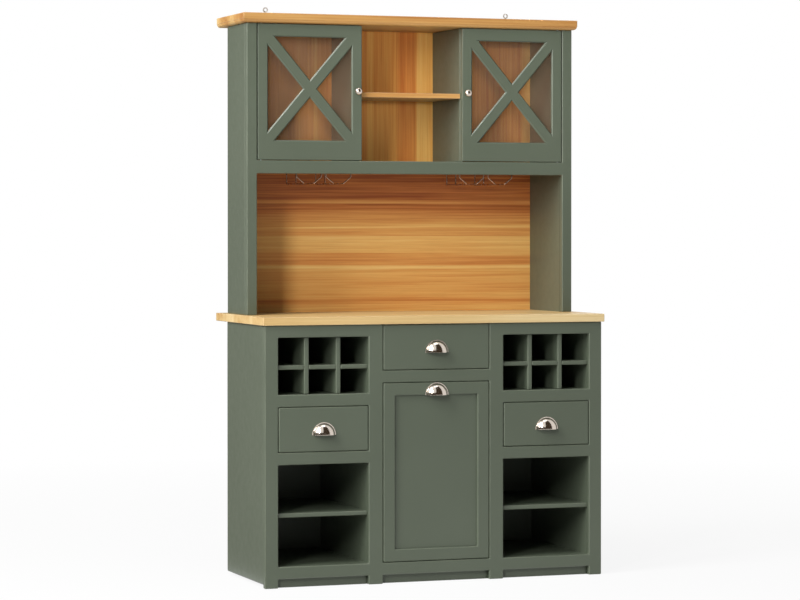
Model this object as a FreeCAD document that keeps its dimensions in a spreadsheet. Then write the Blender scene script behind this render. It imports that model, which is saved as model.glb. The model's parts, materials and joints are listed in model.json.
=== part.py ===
import FreeCAD, Part
import math
import os
import re

# Kitchen dresser: a base unit with bottle racks, drawers, open shelves and a pull-out front,
# an oak worktop, and a shallower hutch with two glazed doors. Millimetres, +Z up, +X to the
# right of someone who faces the front, which looks along -Y. The origin is on the floor, in the
# middle of the width and of the depth from the handles to the wall.

SIZES = {
    # base: width, depth from face frame to wall, and the heights from the floor up
    "base_width": 1200,
    "base_depth": 540,
    "plinth_height": 30,
    "rail_height": 40,
    "open_height": 334,
    "drawer_opening": 150,
    "rack_opening": 188,
    "centre_drawer_opening": 154,
    # base: face frame and boards
    "outer_stile": 46,
    "inner_stile": 50,
    "bay_width": 314,
    "frame_thick": 20,
    "board_thick": 16,
    "base_end_gap": 108,
    "end_panel_lift": 13,
    "packer_width": 40,
    "back_gap": 13,
    "shelf_thick": 14,
    "shelf_recess": 14,
    "rack_shelf_rise": 82,
    "open_shelf_rise": 160,
    "pin_radius": 2.5,
    "pin_length": 8,
    "pin_setback": 60,
    "worktop_thick": 27,
    "worktop_overhang": 8,
    # hutch: width, place and the heights from the worktop up
    "hutch_width": 1180,
    "hutch_setback": 234,
    "hutch_stile": 36,
    "hutch_board": 12,
    "hutch_end_gap": 82,
    "hutch_back_thick": 14,
    "niche_height": 475,
    "hutch_rail": 44,
    "door_opening": 460,
    "hutch_centre_width": 364,
    "divider_gap": 1,
    "centre_shelf_rise": 217,
    "centre_shelf_thick": 17,
    "centre_shelf_setback": 20,
    # cornice: a square fascia over an ovolo
    "cornice_fascia": 21,
    "cornice_ovolo": 12,
    "cornice_overhang": 15,
    "cornice_quirk": 1.5,
    # hanging eyes on the cornice
    "hanger_spacing": 890,
    "hanger_setback": 50,
    "hanger_rise": 30,
    "hanger_ring_radius": 9,
    "hanger_hole_radius": 5,
    "hanger_tongue": 9,
    "hanger_thick": 2.5,
    "hanger_foot": 34,
    "hanger_foot_width": 16,
    "screw_radius": 2,
    "screw_head_radius": 3.8,
    "screw_head_height": 2,
    "screw_length": 15,
    "screw_spacing": 16,
    # wire stemware racks under the hutch floor
    "stem_rack_spacing": 592,
    "stem_pitch": 106,
    "stem_slot": 34,
    "stem_mouth": 88,
    "stem_drop": 32,
    "stem_slope": 22,
    "stem_setback": 70,
    "stem_rear_gap": 26,
    "wire_radius": 2,
    "wire_bend": 5,
    # glazed doors
    "door_thick": 22,
    "door_gap": 2,
    "hinge_gap": 3,
    "meeting_gap": 1,
    "door_stile": 32,
    "door_top_rail": 39,
    "door_bottom_rail": 62,
    "cross_bar": 30,
    "glass_thick": 4,
    "glass_lap": 8,
    "bead_thick": 3,
    "pivot_inset": 12,
    "pivot_setback": 7,
    "pivot_radius": 3,
    "pivot_length": 10,
    "pivot_clearance": 0.3,
    "knob_radius": 12.5,
    "knob_half_depth": 8,
    "knob_neck_radius": 4.5,
    "knob_rose_radius": 8,
    "knob_rose_thick": 2,
    "knob_reach": 23,
    "knob_rise": 235,
    # cup handles: a quarter of a thin hollow dome on a flat rim
    "cup_width": 76,
    "cup_height": 39,
    "cup_depth": 26,
    "cup_wall": 1.8,
    "cup_rim": 3,
    "cup_rim_thick": 2,
    "cup_lift": 2,
    # drawers and their side runners
    "front_thick": 20,
    "front_gap": 2,
    "runner_thick": 6,
    "runner_gap": 0.4,
    "runner_height": 44,
    "runner_rear_gap": 15,
    "runner_setback": 6,
    "slide_height": 32,
    "slide_short": 4,
    "box_board": 12,
    "box_lift": 14,
    "box_top_gap": 36,
    "box_rear_gap": 41,
    "box_bottom_thick": 6,
    "box_bottom_lift": 9,
    # pull-out front with its carrier and bin
    "pullout_member": 41,
    "pullout_recess": 9.5,
    "pullout_panel_thick": 8,
    "carrier_height": 130,
    "carrier_lift": 24,
    "carrier_floor_thick": 12,
    "bin_side_gap": 16,
    "bin_height": 430,
    "bin_wall": 3,
    "bin_gap": 6,
    "bin_rim": 8,
    "bin_rim_height": 10,
}

doc = FreeCAD.newDocument("kitchen_dresser")
sheet = doc.addObject("Spreadsheet::Sheet", "Sizes")
for row, (alias, size) in enumerate(SIZES.items(), start=1):
    sheet.set(f"A{row}", alias)
    sheet.set(f"B{row}", str(size))
    sheet.setAlias(f"B{row}", alias)
doc.recompute()

NODES = []


def cells(expression):
    """Turns the size names in an expression into references to the sheet's cells."""
    return re.sub(r"[a-z]\w*", lambda w: "Sizes." + w[0] if w[0] in SIZES else w[0], expression)


def bind(feature, **expressions):
    """Binds properties to expressions; x, y and z are the place of the feature."""
    for name, expression in expressions.items():
        target = f"Placement.Base.{name}" if name in ("x", "y", "z") else name
        feature.setExpression(target, cells(expression))


def turn(feature, axis, angle):
    feature.Placement = FreeCAD.Placement(FreeCAD.Vector(), FreeCAD.Rotation(axis, angle))


def node(feature, name):
    """Marks a feature as a sub-part: its label is the name of its file."""
    feature.Label = name
    NODES.append(feature)
    return feature


def box(name, x, y, z):
    """A board from its three (low, high) spans."""
    board = doc.addObject("Part::Box", name)
    bind(
        board,
        Length=f"({x[1]}) - ({x[0]})",
        Width=f"({y[1]}) - ({y[0]})",
        Height=f"({z[1]}) - ({z[0]})",
        x=x[0],
        y=y[0],
        z=z[0],
    )
    return board


def rod(name, axis, radius, length, x, y, z):
    """A round bar along X_AXIS, Y_AXIS or Z_AXIS, from its start point."""
    bar = doc.addObject("Part::Cylinder", name)
    if axis == X_AXIS:
        turn(bar, Y_AXIS, 90)
    if axis == Y_AXIS:
        turn(bar, X_AXIS, -90)
    bind(bar, Radius=radius, Height=length, x=x, y=y, z=z)
    return bar


def dome(name, half_x, half_y, half_z, x, y, z):
    """A whole ellipsoid from its half axes and its centre."""
    solid = doc.addObject("Part::Ellipsoid", name)
    solid.Angle1 = -90
    bind(solid, Radius1=half_z, Radius2=half_x, Radius3=half_y, x=x, y=y, z=z)
    return solid


def cut(name, base, *tools):
    tool = tools[0] if len(tools) == 1 else fuse(f"{name}_tools", *tools)
    result = doc.addObject("Part::Cut", name)
    result.Base = base
    result.Tool = tool
    return result


def fuse(name, *solids):
    result = doc.addObject("Part::MultiFuse", name)
    result.Shapes = list(solids)
    result.Refine = True
    return result


def common(name, *solids):
    result = doc.addObject("Part::MultiCommon", name)
    result.Shapes = list(solids)
    return result


def group(name, solids):
    """Several separate solids that share one node."""
    result = doc.addObject("Part::Compound", name)
    result.Links = list(solids)
    return node(result, name)


def both(inner, outer):
    """The spans in X of a left and a right piece between two distances from the middle."""
    return {"left": (f"-({outer})", f"-({inner})"), "right": (inner, outer)}


def across(half):
    """The span in X of a piece centred on the middle."""
    return (f"-({half})", half)


X_AXIS = FreeCAD.Vector(1, 0, 0)
Y_AXIS = FreeCAD.Vector(0, 1, 0)
Z_AXIS = FreeCAD.Vector(0, 0, 1)
SIDES = ("left", "right")

# Distances from the middle, out along X.
BASE_HALF = "base_width / 2"
BAY_OUTER = "base_width / 2 - outer_stile"
BAY_INNER = "base_width / 2 - outer_stile - bay_width"
CENTRE_HALF = f"{BAY_INNER} - inner_stile"
HUTCH_HALF = "hutch_width / 2"
HUTCH_INSIDE = "hutch_width / 2 - hutch_stile"
DIVIDER_INNER = "hutch_centre_width / 2"

# Depths, back along Y from the front of the face frame.
FRONT = "(cup_depth - base_depth) / 2"
FRAME_BACK = f"{FRONT} + frame_thick"
WALL = f"{FRONT} + base_depth"
BASE_REAR = f"{WALL} - back_gap"
BASE_INSIDE = f"{BASE_REAR} - board_thick"
INSERT_FRONT = f"{FRONT} + shelf_recess"
BOX_REAR = f"{BASE_INSIDE} - box_rear_gap"
HUTCH_FRONT = f"{FRONT} + hutch_setback"
HUTCH_FRAME_BACK = f"{HUTCH_FRONT} + door_thick"
HUTCH_INSIDE_BACK = f"{WALL} - hutch_back_thick"

# Heights, up along Z from the floor.
BAY_FLOOR = "plinth_height + rail_height"
DECK = f"{BAY_FLOOR} + open_height"
DRAWER_LOW = f"{DECK} + rail_height"
DRAWER_HIGH = f"{DRAWER_LOW} + drawer_opening"
RACK_LOW = f"{DRAWER_HIGH} + rail_height"
RACK_HIGH = f"{RACK_LOW} + rack_opening"
CARCASS_TOP = f"{RACK_HIGH} + rail_height"
CENTRE_DRAWER_LOW = f"{CARCASS_TOP} - centre_drawer_opening"
PULLOUT_HIGH = f"{CENTRE_DRAWER_LOW} - rail_height"
WORKTOP = f"{CARCASS_TOP} + worktop_thick"
NICHE_TOP = f"{WORKTOP} + niche_height"
DOOR_LOW = f"{NICHE_TOP} + hutch_rail"
DOOR_HIGH = f"{DOOR_LOW} + door_opening"
CORNICE_TOP = f"{DOOR_HIGH} + cornice_ovolo + cornice_fascia"
HUTCH_FLOOR_LOW = f"{DOOR_LOW} - board_thick"


def pair(name, inner, outer, y, z):
    """A left and a right board in one node."""
    spans = both(inner, outer)
    return group(name, [box(f"{name}_{side}", spans[side], y, z) for side in SIDES])


def base_carcass():
    pair(
        "base_end_panels",
        f"{BASE_HALF} - board_thick",
        BASE_HALF,
        (FRAME_BACK, f"{WALL} - base_end_gap"),
        ("end_panel_lift", CARCASS_TOP),
    )
    pair(
        "base_inner_sides",
        BAY_OUTER,
        f"{BAY_OUTER} + board_thick",
        (FRAME_BACK, BASE_REAR),
        ("0", CARCASS_TOP),
    )
    inside = (FRAME_BACK, BASE_INSIDE)
    pair("bay_partitions", f"{BAY_INNER} - board_thick", BAY_INNER, inside, ("0", CARCASS_TOP))
    pair("centre_sides", CENTRE_HALF, f"{CENTRE_HALF} + board_thick", inside, ("0", CARCASS_TOP))
    back = box(
        "back_board",
        across(BAY_OUTER),
        (BASE_INSIDE, BASE_REAR),
        (f"{BAY_FLOOR} - board_thick", CARCASS_TOP),
    )
    node(back, "base_back_panel")
    floor_span = (f"{BAY_FLOOR} - board_thick", BAY_FLOOR)
    node(box("centre_floor", across(CENTRE_HALF), inside, floor_span), "centre_floor")
    levels = {
        "floor": floor_span,
        "deck": (DECK, f"{DECK} + board_thick"),
        "rack_floor": (f"{RACK_LOW} - board_thick", RACK_LOW),
        "rack_roof": (RACK_HIGH, f"{RACK_HIGH} + board_thick"),
    }
    bays = both(BAY_INNER, BAY_OUTER)
    boards = []
    for side in SIDES:
        for level, heights in levels.items():
            boards.append(box(f"bay_{level}_{side}", bays[side], inside, heights))
    group("bay_boards", boards)


def face_frame():
    y = (FRONT, FRAME_BACK)
    full = ("0", CARCASS_TOP)
    stiles = []
    for place, spans in (
        ("outer", both(BAY_OUTER, BASE_HALF)),
        ("inner", both(CENTRE_HALF, BAY_INNER)),
    ):
        for side in SIDES:
            stiles.append(box(f"stile_{place}_{side}", spans[side], y, full))
    group("face_frame_stiles", stiles)
    bays = both(BAY_INNER, BAY_OUTER)
    rails = []
    for side in SIDES:
        for place, low in enumerate(("plinth_height", DECK, DRAWER_HIGH, RACK_HIGH)):
            heights = (low, f"{low} + rail_height")
            rails.append(box(f"bay_rail_{side}_{place}", bays[side], y, heights))
    for place, low in enumerate(("plinth_height", PULLOUT_HIGH)):
        heights = (low, f"{low} + rail_height")
        rails.append(box(f"centre_rail_{place}", across(CENTRE_HALF), y, heights))
    group("face_frame_rails", rails)
    toe = (FRAME_BACK, f"{FRAME_BACK} + board_thick")
    under_floor = ("0", f"{BAY_FLOOR} - board_thick")
    plinth = [box(f"plinth_{side}", bays[side], toe, under_floor) for side in SIDES]
    plinth.append(box("plinth_centre", across(CENTRE_HALF), toe, under_floor))
    group("plinth_boards", plinth)


def side_packers():
    """Upright strips between the inner sides and the end panels of the base and the hutch."""
    strips = []
    stacks = {
        "base": (
            both(f"{BAY_OUTER} + board_thick", f"{BASE_HALF} - board_thick"),
            FRAME_BACK,
            f"{WALL} - base_end_gap",
            ("end_panel_lift", CARCASS_TOP),
        ),
        "hutch": (
            both(f"{HUTCH_INSIDE} + hutch_board", f"{HUTCH_HALF} - board_thick"),
            HUTCH_FRAME_BACK,
            f"{WALL} - hutch_end_gap",
            (WORKTOP, DOOR_HIGH),
        ),
    }
    for stack, (spans, near, far, heights) in stacks.items():
        for side in SIDES:
            front = (near, f"{near} + packer_width")
            rear = (f"{far} - packer_width", far)
            strips.append(box(f"packer_{stack}_{side}_front", spans[side], front, heights))
            strips.append(box(f"packer_{stack}_{side}_rear", spans[side], rear, heights))
    group("side_packers", strips)


def bottle_racks():
    """Three by two cells a side: upright dividers, with a short shelf in each column."""
    bays = both(BAY_INNER, BAY_OUTER)
    y = (INSERT_FRONT, BASE_INSIDE)
    cell_width = "(bay_width - 2 * board_thick) / 3"
    shelf_low = f"{RACK_LOW} + rack_shelf_rise"
    shelf_z = (shelf_low, f"{shelf_low} + shelf_thick")
    dividers = []
    shelves = []
    for side in SIDES:
        for column in range(3):
            start = f"{bays[side][0]} + {column} * ({cell_width} + board_thick)"
            end = f"{start} + {cell_width}"
            shelves.append(box(f"rack_shelf_{side}_{column}", (start, end), y, shelf_z))
            if column < 2:
                upright = (end, f"{end} + board_thick")
                name = f"rack_divider_{side}_{column}"
                dividers.append(box(name, upright, y, (RACK_LOW, RACK_HIGH)))
    group("rack_dividers", dividers)
    group("rack_shelves", shelves)


def open_shelves():
    bays = both(BAY_INNER, BAY_OUTER)
    low = f"{BAY_FLOOR} + open_shelf_rise"
    heights = (low, f"{low} + shelf_thick")
    y = (INSERT_FRONT, BASE_INSIDE)
    group("open_shelves", [box(f"open_shelf_{side}", bays[side], y, heights) for side in SIDES])
    pins = []
    for side in SIDES:
        for wall, start in (("a", bays[side][0]), ("b", f"{bays[side][1]} - pin_length")):
            for place, y in (
                ("front", f"{FRAME_BACK} + pin_setback"),
                ("rear", f"{BASE_INSIDE} - pin_setback"),
            ):
                name = f"shelf_pin_{side}_{wall}_{place}"
                z = f"{low} - pin_radius"
                pins.append(rod(name, X_AXIS, "pin_radius", "pin_length", start, y, z))
    group("shelf_pins", pins)


def worktop():
    half = f"{BASE_HALF} + worktop_overhang"
    y = (f"{FRONT} - worktop_overhang", WALL)
    node(box("worktop_board", across(half), y, (CARCASS_TOP, WORKTOP)), "worktop")


def pivot_place(side):
    """Where a door's pivot stands: X and Y."""
    inset = f"({HUTCH_INSIDE} - hinge_gap - pivot_inset)"
    x = f"-{inset}" if side == "left" else inset
    return x, f"{HUTCH_FRONT} + pivot_setback"


def pivot_bores(name, low):
    """The bores that take the pivots' outer ends, a clearance wider and deeper than the pins."""
    bores = []
    for side in SIDES:
        x, y = pivot_place(side)
        radius = "pivot_radius + pivot_clearance"
        length = "pivot_length + pivot_clearance"
        bores.append(rod(f"{name}_{side}", Z_AXIS, radius, length, x, y, low))
    return bores


def hutch_carcass():
    upright = (WORKTOP, DOOR_HIGH)
    pair(
        "hutch_end_panels",
        f"{HUTCH_HALF} - board_thick",
        HUTCH_HALF,
        (HUTCH_FRAME_BACK, f"{WALL} - hutch_end_gap"),
        upright,
    )
    inside = (HUTCH_FRAME_BACK, HUTCH_INSIDE_BACK)
    outer_face = f"{HUTCH_INSIDE} + hutch_board"
    pair("hutch_inner_sides", HUTCH_INSIDE, outer_face, inside, upright)
    frame = (HUTCH_FRONT, HUTCH_FRAME_BACK)
    pair("hutch_stiles", HUTCH_INSIDE, HUTCH_HALF, frame, upright)
    rail = box("rail_blank", across(HUTCH_INSIDE), frame, (NICHE_TOP, DOOR_LOW))
    bores = pivot_bores("rail_bore", f"{DOOR_LOW} - pivot_length - pivot_clearance")
    node(cut("bored_rail", rail, *bores), "hutch_rail")
    floor = (HUTCH_FLOOR_LOW, DOOR_LOW)
    node(box("hutch_floor_board", across(HUTCH_INSIDE), inside, floor), "hutch_floor")
    pair(
        "hutch_dividers",
        DIVIDER_INNER,
        f"{DIVIDER_INNER} + hutch_board",
        (f"{HUTCH_FRAME_BACK} + divider_gap", HUTCH_INSIDE_BACK),
        (DOOR_LOW, DOOR_HIGH),
    )
    back = (HUTCH_INSIDE_BACK, WALL)
    niche = (WORKTOP, HUTCH_FLOOR_LOW)
    node(box("niche_back_board", across(outer_face), back, niche), "niche_back_panel")
    upper = (HUTCH_FLOOR_LOW, DOOR_HIGH)
    node(box("upper_back_board", across(outer_face), back, upper), "upper_back_panel")
    shelf_low = f"{DOOR_LOW} + centre_shelf_rise"
    shelf = box(
        "centre_shelf_board",
        across(DIVIDER_INNER),
        (f"{HUTCH_FRONT} + centre_shelf_setback", HUTCH_INSIDE_BACK),
        (shelf_low, f"{shelf_low} + centre_shelf_thick"),
    )
    node(shelf, "centre_shelf")


def screw_places():
    """X, Y of the hanging eyes' screws, along the middle of each foot."""
    foot_middle = f"{WALL} - hanger_setback + hanger_thick + hanger_foot / 2"
    for side in SIDES:
        x = "-hanger_spacing / 2" if side == "left" else "hanger_spacing / 2"
        for place, sign in (("front", "-"), ("rear", "+")):
            yield f"{side}_{place}", x, f"{foot_middle} {sign} screw_spacing / 2"


def cornice():
    """A board with a square fascia, standing over a quarter-round edge on three sides."""
    body = doc.addObject("PartDesign::Body", "cornice_body")
    half = f"{HUTCH_HALF} + cornice_overhang"
    near = f"{HUTCH_FRONT} - cornice_overhang"
    ovolo = body.newObject("PartDesign::AdditiveBox", "ovolo_layer")
    bind(
        ovolo,
        Length=f"2 * ({half} - cornice_quirk)",
        Width=f"{WALL} - ({near} + cornice_quirk)",
        Height="cornice_ovolo",
        x=f"-({half} - cornice_quirk)",
        y=f"{near} + cornice_quirk",
        z=DOOR_HIGH,
    )
    doc.recompute()
    low = ovolo.Shape.BoundBox.ZMin
    far = ovolo.Shape.BoundBox.YMax
    names = []
    for number, edge in enumerate(ovolo.Shape.Edges, start=1):
        centre = edge.CenterOfMass
        if abs(centre.z - low) < 1e-6 and centre.y < far - 1e-6:
            names.append(f"Edge{number}")
    rounded = body.newObject("PartDesign::Fillet", "ovolo_edge")
    rounded.Base = (ovolo, names)
    bind(rounded, Radius="cornice_ovolo - cornice_quirk / 2")
    fascia = body.newObject("PartDesign::AdditiveBox", "fascia_layer")
    bind(
        fascia,
        Length=f"2 * ({half})",
        Width=f"{WALL} - ({near})",
        Height="cornice_fascia",
        x=f"-({half})",
        y=near,
        z=f"{DOOR_HIGH} + cornice_ovolo",
    )
    body.Tip = fascia
    bores = pivot_bores("cornice_bore", DOOR_HIGH)
    for name, x, y in screw_places():
        z = f"{CORNICE_TOP} - screw_length"
        bores.append(rod(f"cornice_pilot_{name}", Z_AXIS, "screw_radius", "screw_length", x, y, z))
    node(cut("bored_cornice", body, *bores), "cornice")


def hanging_eyes():
    """Upright eye plates with a foot, screwed to the top of the cornice."""
    front = f"{WALL} - hanger_setback"
    plate = (front, f"{front} + hanger_thick")
    top = f"{CORNICE_TOP} + hanger_rise"
    holes = {}
    for name, x, y in screw_places():
        radius = "screw_radius + pivot_clearance"
        holes[name] = rod(f"foot_hole_{name}", Z_AXIS, radius, "hanger_thick", x, y, CORNICE_TOP)
    eyes = []
    for side in SIDES:
        x = "-hanger_spacing / 2" if side == "left" else "hanger_spacing / 2"
        tongue_x = (f"{x} - hanger_tongue / 2", f"{x} + hanger_tongue / 2")
        foot_x = (f"{x} - hanger_foot_width / 2", f"{x} + hanger_foot_width / 2")
        foot_y = (front, f"{front} + hanger_thick + hanger_foot")
        tongue = box(f"eye_tongue_{side}", tongue_x, plate, (CORNICE_TOP, top))
        foot = box(f"eye_foot_{side}", foot_x, foot_y, (CORNICE_TOP, f"{CORNICE_TOP} + hanger_thick"))
        place = (x, front, top)
        ring = rod(f"eye_ring_{side}", Y_AXIS, "hanger_ring_radius", "hanger_thick", *place)
        hole = rod(f"eye_hole_{side}", Y_AXIS, "hanger_hole_radius", "hanger_thick", *place)
        blank = fuse(f"eye_blank_{side}", tongue, foot, ring)
        own = [holes[f"{side}_front"], holes[f"{side}_rear"]]
        eyes.append(cut(f"hanging_eye_{side}", blank, hole, *own))
    group("hanging_eyes", eyes)
    screws = []
    for name, x, y in screw_places():
        low = f"{CORNICE_TOP} - screw_length"
        length = "screw_length + hanger_thick"
        shank = rod(f"screw_shank_{name}", Z_AXIS, "screw_radius", length, x, y, low)
        seat = f"{CORNICE_TOP} + hanger_thick"
        head = rod(
            f"screw_head_{name}", Z_AXIS, "screw_head_radius", "screw_head_height", x, y, seat
        )
        screws.append(fuse(f"screw_{name}", shank, head))
    group("hanger_screws", screws)


def bent_wire(points, bend, radius):
    """A round wire along straight runs that are joined by tangent arcs."""
    edges = []
    start = points[0]
    for before, corner, after in zip(points, points[1:], points[2:]):
        back = (before - corner).normalize()
        on = (after - corner).normalize()
        half_angle = back.getAngle(on) / 2
        reach = bend / math.tan(half_angle)
        first = corner + back * reach
        last = corner + on * reach
        inward = (back + on).normalize()
        centre_gap = (bend**2 + reach**2) ** 0.5
        middle = corner + inward * (centre_gap - bend)
        edges.append(Part.LineSegment(start, first).toShape())
        edges.append(Part.Arc(first, middle, last).toShape())
        start = last
    edges.append(Part.LineSegment(start, points[-1]).toShape())
    spine = Part.Wire(edges)
    direction = points[1] - points[0]
    section = Part.Wire(Part.Circle(points[0], direction, radius).toShape())
    return spine.makePipeShell([section], True, False)


def stemware_racks():
    """Eight bent wires in pairs: two channels under each cupboard, flared at their mouths."""
    size = sheet.get
    wall = (size("cup_depth") - size("base_depth")) / 2 + size("base_depth")
    hutch_front = wall - size("base_depth") + size("hutch_setback")
    near = hutch_front + size("stem_setback")
    far = wall - size("hutch_back_thick") - size("stem_rear_gap")
    carcass = size("plinth_height") + 4 * size("rail_height")
    carcass += size("open_height") + size("drawer_opening") + size("rack_opening")
    niche_top = carcass + size("worktop_thick") + size("niche_height")
    ceiling = niche_top + size("hutch_rail") - size("board_thick")
    rail_z = niche_top - size("stem_drop")
    slope_z = rail_z + size("stem_slope")
    wires = []
    for rack in (-1, 1):
        for channel in (-1, 1):
            middle = rack * size("stem_rack_spacing") / 2 + channel * size("stem_pitch") / 2
            for hand in (-1, 1):
                slot_x = middle + hand * size("stem_slot") / 2
                mouth_x = middle + hand * size("stem_mouth") / 2
                points = [
                    FreeCAD.Vector(mouth_x, near, ceiling),
                    FreeCAD.Vector(mouth_x, near, slope_z),
                    FreeCAD.Vector(slot_x, near, rail_z),
                    FreeCAD.Vector(slot_x, far, rail_z),
                    FreeCAD.Vector(slot_x, far, ceiling),
                ]
                wire = doc.addObject("Part::Feature", f"stem_wire_{len(wires)}")
                wire.Shape = bent_wire(points, size("wire_bend"), size("wire_radius"))
                wires.append(wire)
    group("stemware_racks", wires)


def glazed_door(side):
    """A one-piece frame with crossed bars, its pane and glazing beads, the pivots and a knob."""
    hinge = f"({HUTCH_INSIDE} - hinge_gap)"
    free = f"({DIVIDER_INNER} + meeting_gap)"
    low = f"{DOOR_LOW} + door_gap"
    high = f"{DOOR_HIGH} - door_gap"
    x = both(free, hinge)[side]
    open_x = (f"{x[0]} + door_stile", f"{x[1]} - door_stile")
    open_z = (f"{low} + door_bottom_rail", f"{high} - door_top_rail")
    whole_y = (HUTCH_FRONT, HUTCH_FRAME_BACK)
    width = f"({hinge} - {free} - 2 * door_stile)"
    height = "(door_opening - 2 * door_gap - door_bottom_rail - door_top_rail)"
    centre_x = f"({open_x[0]} + {width} / 2)"
    centre_z = f"({open_z[0]} + {height} / 2)"

    blank = box(f"door_blank_{side}", x, whole_y, (low, high))
    light = box(f"door_light_{side}", open_x, whole_y, open_z)
    bars = []
    length = f"({width} + {height})"
    for name, slope in (("rising", f"atan(-{height} / {width})"), ("falling", f"atan({height} / {width})")):
        bar = doc.addObject("Part::Box", f"door_bar_{side}_{name}")
        turn(bar, Y_AXIS, 1)
        bind(
            bar,
            Length=length,
            Width="door_thick",
            Height="cross_bar",
            x=f"{centre_x} - cos({slope}) * {length} / 2 - sin({slope}) * cross_bar / 2",
            y=HUTCH_FRONT,
            z=f"{centre_z} + sin({slope}) * {length} / 2 - cos({slope}) * cross_bar / 2",
        )
        bar.setExpression("Placement.Rotation.Angle", cells(slope))
        bars.append(bar)
    lattice = common(f"door_lattice_{side}", light, fuse(f"door_cross_{side}", *bars))
    ring = cut(f"door_ring_{side}", blank, box(f"door_hole_{side}", open_x, whole_y, open_z))
    full = fuse(f"door_full_{side}", ring, lattice)

    pane_x = (f"{open_x[0]} - glass_lap", f"{open_x[1]} + glass_lap")
    pane_z = (f"{open_z[0]} - glass_lap", f"{open_z[1]} + glass_lap")
    pane_back = f"{HUTCH_FRAME_BACK} - bead_thick"
    pane_y = (f"{pane_back} - glass_thick", pane_back)
    bead_y = (pane_back, HUTCH_FRAME_BACK)
    rebate = box(f"door_rebate_{side}", pane_x, (pane_y[0], bead_y[1]), pane_z)
    beads = [
        box(f"bead_a_{side}", (pane_x[0], open_x[0]), bead_y, pane_z),
        box(f"bead_b_{side}", (open_x[1], pane_x[1]), bead_y, pane_z),
        box(f"bead_low_{side}", open_x, bead_y, (pane_z[0], open_z[0])),
        box(f"bead_high_{side}", open_x, bead_y, (open_z[1], pane_z[1])),
    ]
    pivot_x, pivot_y = pivot_place(side)
    pins = []
    sockets = []
    for end, start in (
        ("top", f"{high} - pivot_length"),
        ("bottom", f"{low} - door_gap - pivot_length"),
    ):
        span = "2 * pivot_length + door_gap"
        place = (pivot_x, pivot_y, start)
        pins.append(rod(f"door_pin_{side}_{end}", Z_AXIS, "pivot_radius", span, *place))
        sockets.append(rod(f"door_socket_{side}_{end}", Z_AXIS, "pivot_radius", span, *place))
    frame = cut(f"door_frame_{side}", full, rebate, *sockets)
    node(frame, f"door_{side}_frame")
    node(box(f"door_pane_{side}", pane_x, pane_y, pane_z), f"door_{side}_glass")
    group(f"door_{side}_glass_beads", beads)
    group(f"door_{side}_pivots", pins)
    door_knob(side, x, low)


def door_knob(side, x, low):
    """A round knob on a neck and a rose, in the middle of the free stile."""
    across_x = f"{x[1]} - door_stile / 2" if side == "left" else f"{x[0]} + door_stile / 2"
    z = f"{low} - door_gap + knob_rise"
    front = HUTCH_FRONT
    neck = rod(
        f"knob_neck_{side}",
        Y_AXIS,
        "knob_neck_radius",
        "knob_reach - knob_half_depth",
        across_x,
        f"{front} - knob_reach + knob_half_depth",
        z,
    )
    rose = rod(
        f"knob_rose_{side}",
        Y_AXIS,
        "knob_rose_radius",
        "knob_rose_thick",
        across_x,
        f"{front} - knob_rose_thick",
        z,
    )
    head = dome(
        f"knob_head_{side}",
        "knob_radius",
        "knob_half_depth",
        "knob_radius",
        across_x,
        f"{front} - knob_reach + knob_half_depth",
        z,
    )
    node(fuse(f"knob_{side}", neck, rose, head), f"door_{side}_knob")


def cup_handle(name, x, low):
    """A cup pull: a quarter dome, open below, on a flat half-round rim against the front."""
    half = "cup_width / 2"
    outer = dome(f"{name}_outer", half, "cup_depth", "cup_height", x, FRONT, low)
    inner = dome(
        f"{name}_inner",
        f"{half} - cup_wall",
        "cup_depth - cup_wall",
        "cup_height - cup_wall",
        x,
        FRONT,
        low,
    )
    reach = "cup_width + cup_height"
    rim_half = f"({half} + cup_rim)"
    rim_high = "cup_height + cup_rim"
    rim = dome(f"{name}_rim", rim_half, reach, rim_high, x, f"{FRONT} - cup_rim_thick / 2", low)
    room_x = (f"{x} - {rim_half}", f"{x} + {rim_half}")
    room_z = (low, f"{low} + {rim_high}")
    slab = box(f"{name}_slab", room_x, (f"{FRONT} - cup_rim_thick", FRONT), room_z)
    space = box(f"{name}_space", room_x, (f"{FRONT} - cup_depth", FRONT), room_z)
    quarter = common(f"{name}_quarter", outer, space)
    plate = common(f"{name}_plate", rim, slab)
    node(cut(f"{name}_shell", fuse(f"{name}_solid", quarter, plate), inner), name)


def runner_pair(name, wall_x, z_middle):
    """The cabinet's runners for one sliding unit, against the walls at both sides."""
    y = (f"{FRAME_BACK} + runner_setback", f"{BASE_INSIDE} - runner_rear_gap")
    z = (f"{z_middle} - runner_height / 2", f"{z_middle} + runner_height / 2")
    return [
        box(f"{name}_a", (wall_x[0], f"{wall_x[0]} + runner_thick"), y, z),
        box(f"{name}_b", (f"{wall_x[1]} - runner_thick", wall_x[1]), y, z),
    ]


def slide_pair(name, wall_x, z_middle):
    """The slides of one sliding unit, inside the cabinet's runners."""
    y = (f"{FRAME_BACK} + runner_setback", f"{BOX_REAR} - slide_short")
    z = (f"{z_middle} - slide_height / 2", f"{z_middle} + slide_height / 2")
    outer = "runner_thick + runner_gap"
    inner = "2 * runner_thick + runner_gap"
    left = (f"{wall_x[0]} + {outer}", f"{wall_x[0]} + {inner}")
    right = (f"{wall_x[1]} - ({inner})", f"{wall_x[1]} - ({outer})")
    return [box(f"{name}_a", left, y, z), box(f"{name}_b", right, y, z)]


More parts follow.
